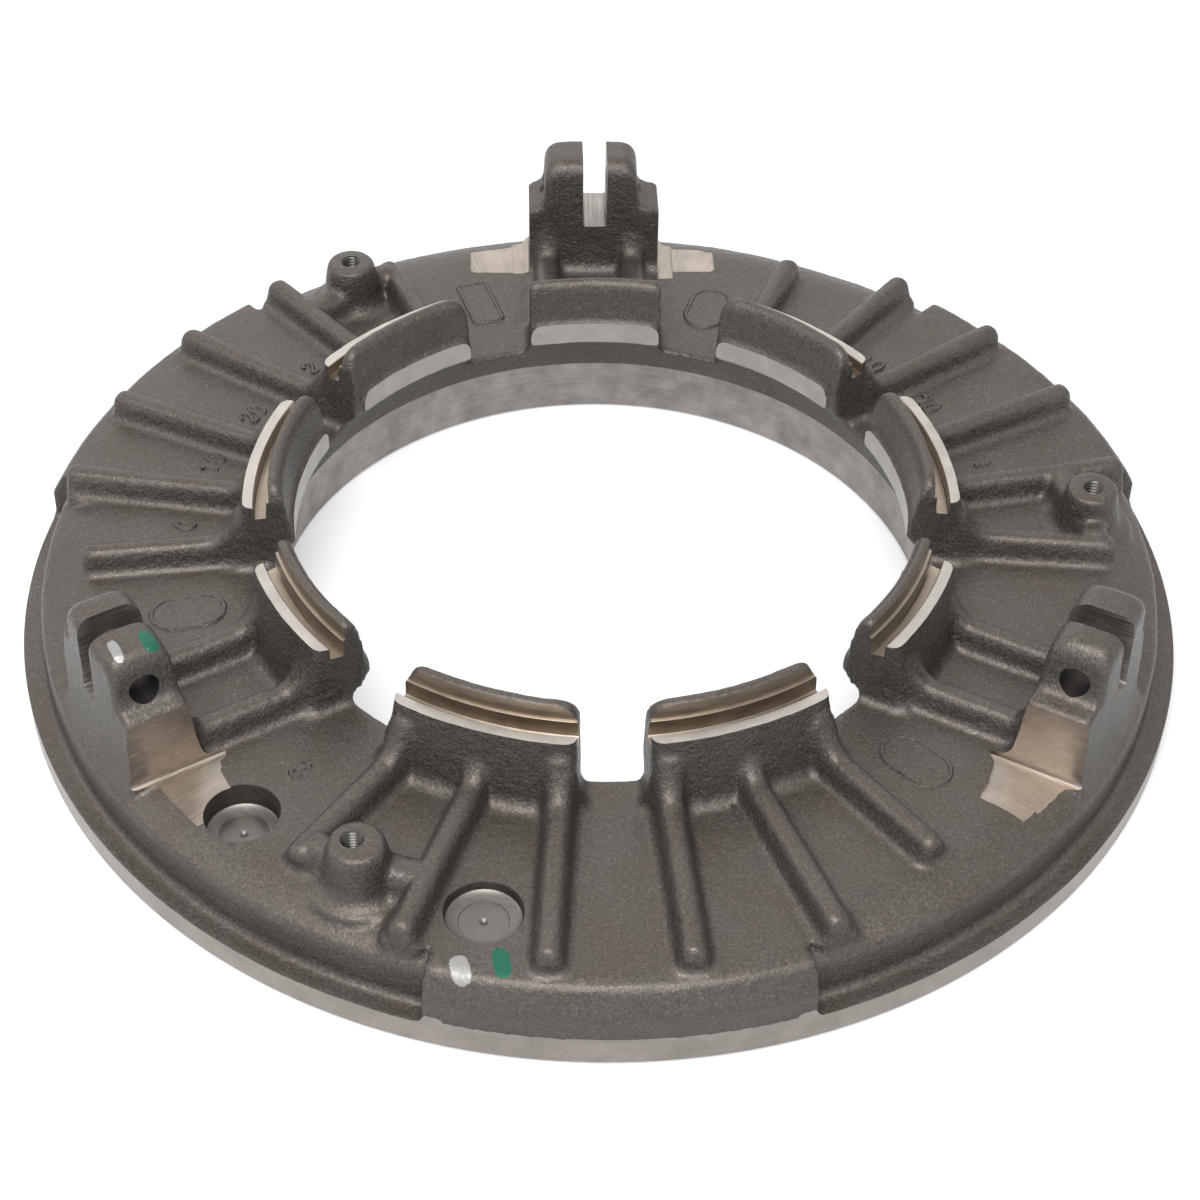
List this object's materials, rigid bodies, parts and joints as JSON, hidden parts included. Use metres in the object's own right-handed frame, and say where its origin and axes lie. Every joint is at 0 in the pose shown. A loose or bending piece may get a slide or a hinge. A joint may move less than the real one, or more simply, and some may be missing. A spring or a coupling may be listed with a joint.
{
  "type": "clutch pressure plate",
  "caption": "Ring-shaped iron friction plate with segmented turned spring seats, radial ribs, slotted lever lugs and small tapped bosses on its back.",
  "frame": {"origin": "centre of the friction face, on the plate axis", "axes": "+Z along the plate axis away from the friction face, +Y towards lever lug 1"},
  "size_m": [0.32, 0.32, 0.061],
  "materials": {
    "ring_iron": "as-cast skin with a turned rim, bore and friction face",
    "seat_iron": "as-cast skin with bright turned land, groove and lip",
    "rib_iron": "as-cast skin",
    "lug_iron": "as-cast skin with machined flanks and reamed pin bore",
    "boss_iron": "as-cast skin with a spot-faced top"
  },
  "bodies": {
    "root": {"friction_ring": "ring_iron", "spring_seat_1": "seat_iron", "spring_seat_2": "seat_iron", "spring_seat_3": "seat_iron", "spring_seat_4": "seat_iron", "spring_seat_5": "seat_iron", "spring_seat_6": "seat_iron", "spring_seat_7": "seat_iron", "spring_seat_8": "seat_iron", "spring_seat_9": "seat_iron", "seat_ribs_1": "rib_iron", "seat_ribs_2": "rib_iron", "seat_ribs_3": "rib_iron", "seat_ribs_4": "rib_iron", "seat_ribs_5": "rib_iron", "seat_ribs_6": "rib_iron", "seat_ribs_7": "rib_iron", "seat_ribs_8": "rib_iron", "seat_ribs_9": "rib_iron", "lever_lug_1": "lug_iron", "lever_lug_2": "lug_iron", "lever_lug_3": "lug_iron", "tapped_boss_1": "boss_iron", "tapped_boss_2": "boss_iron", "tapped_boss_3": "boss_iron"}
  },
  "joints": []
}
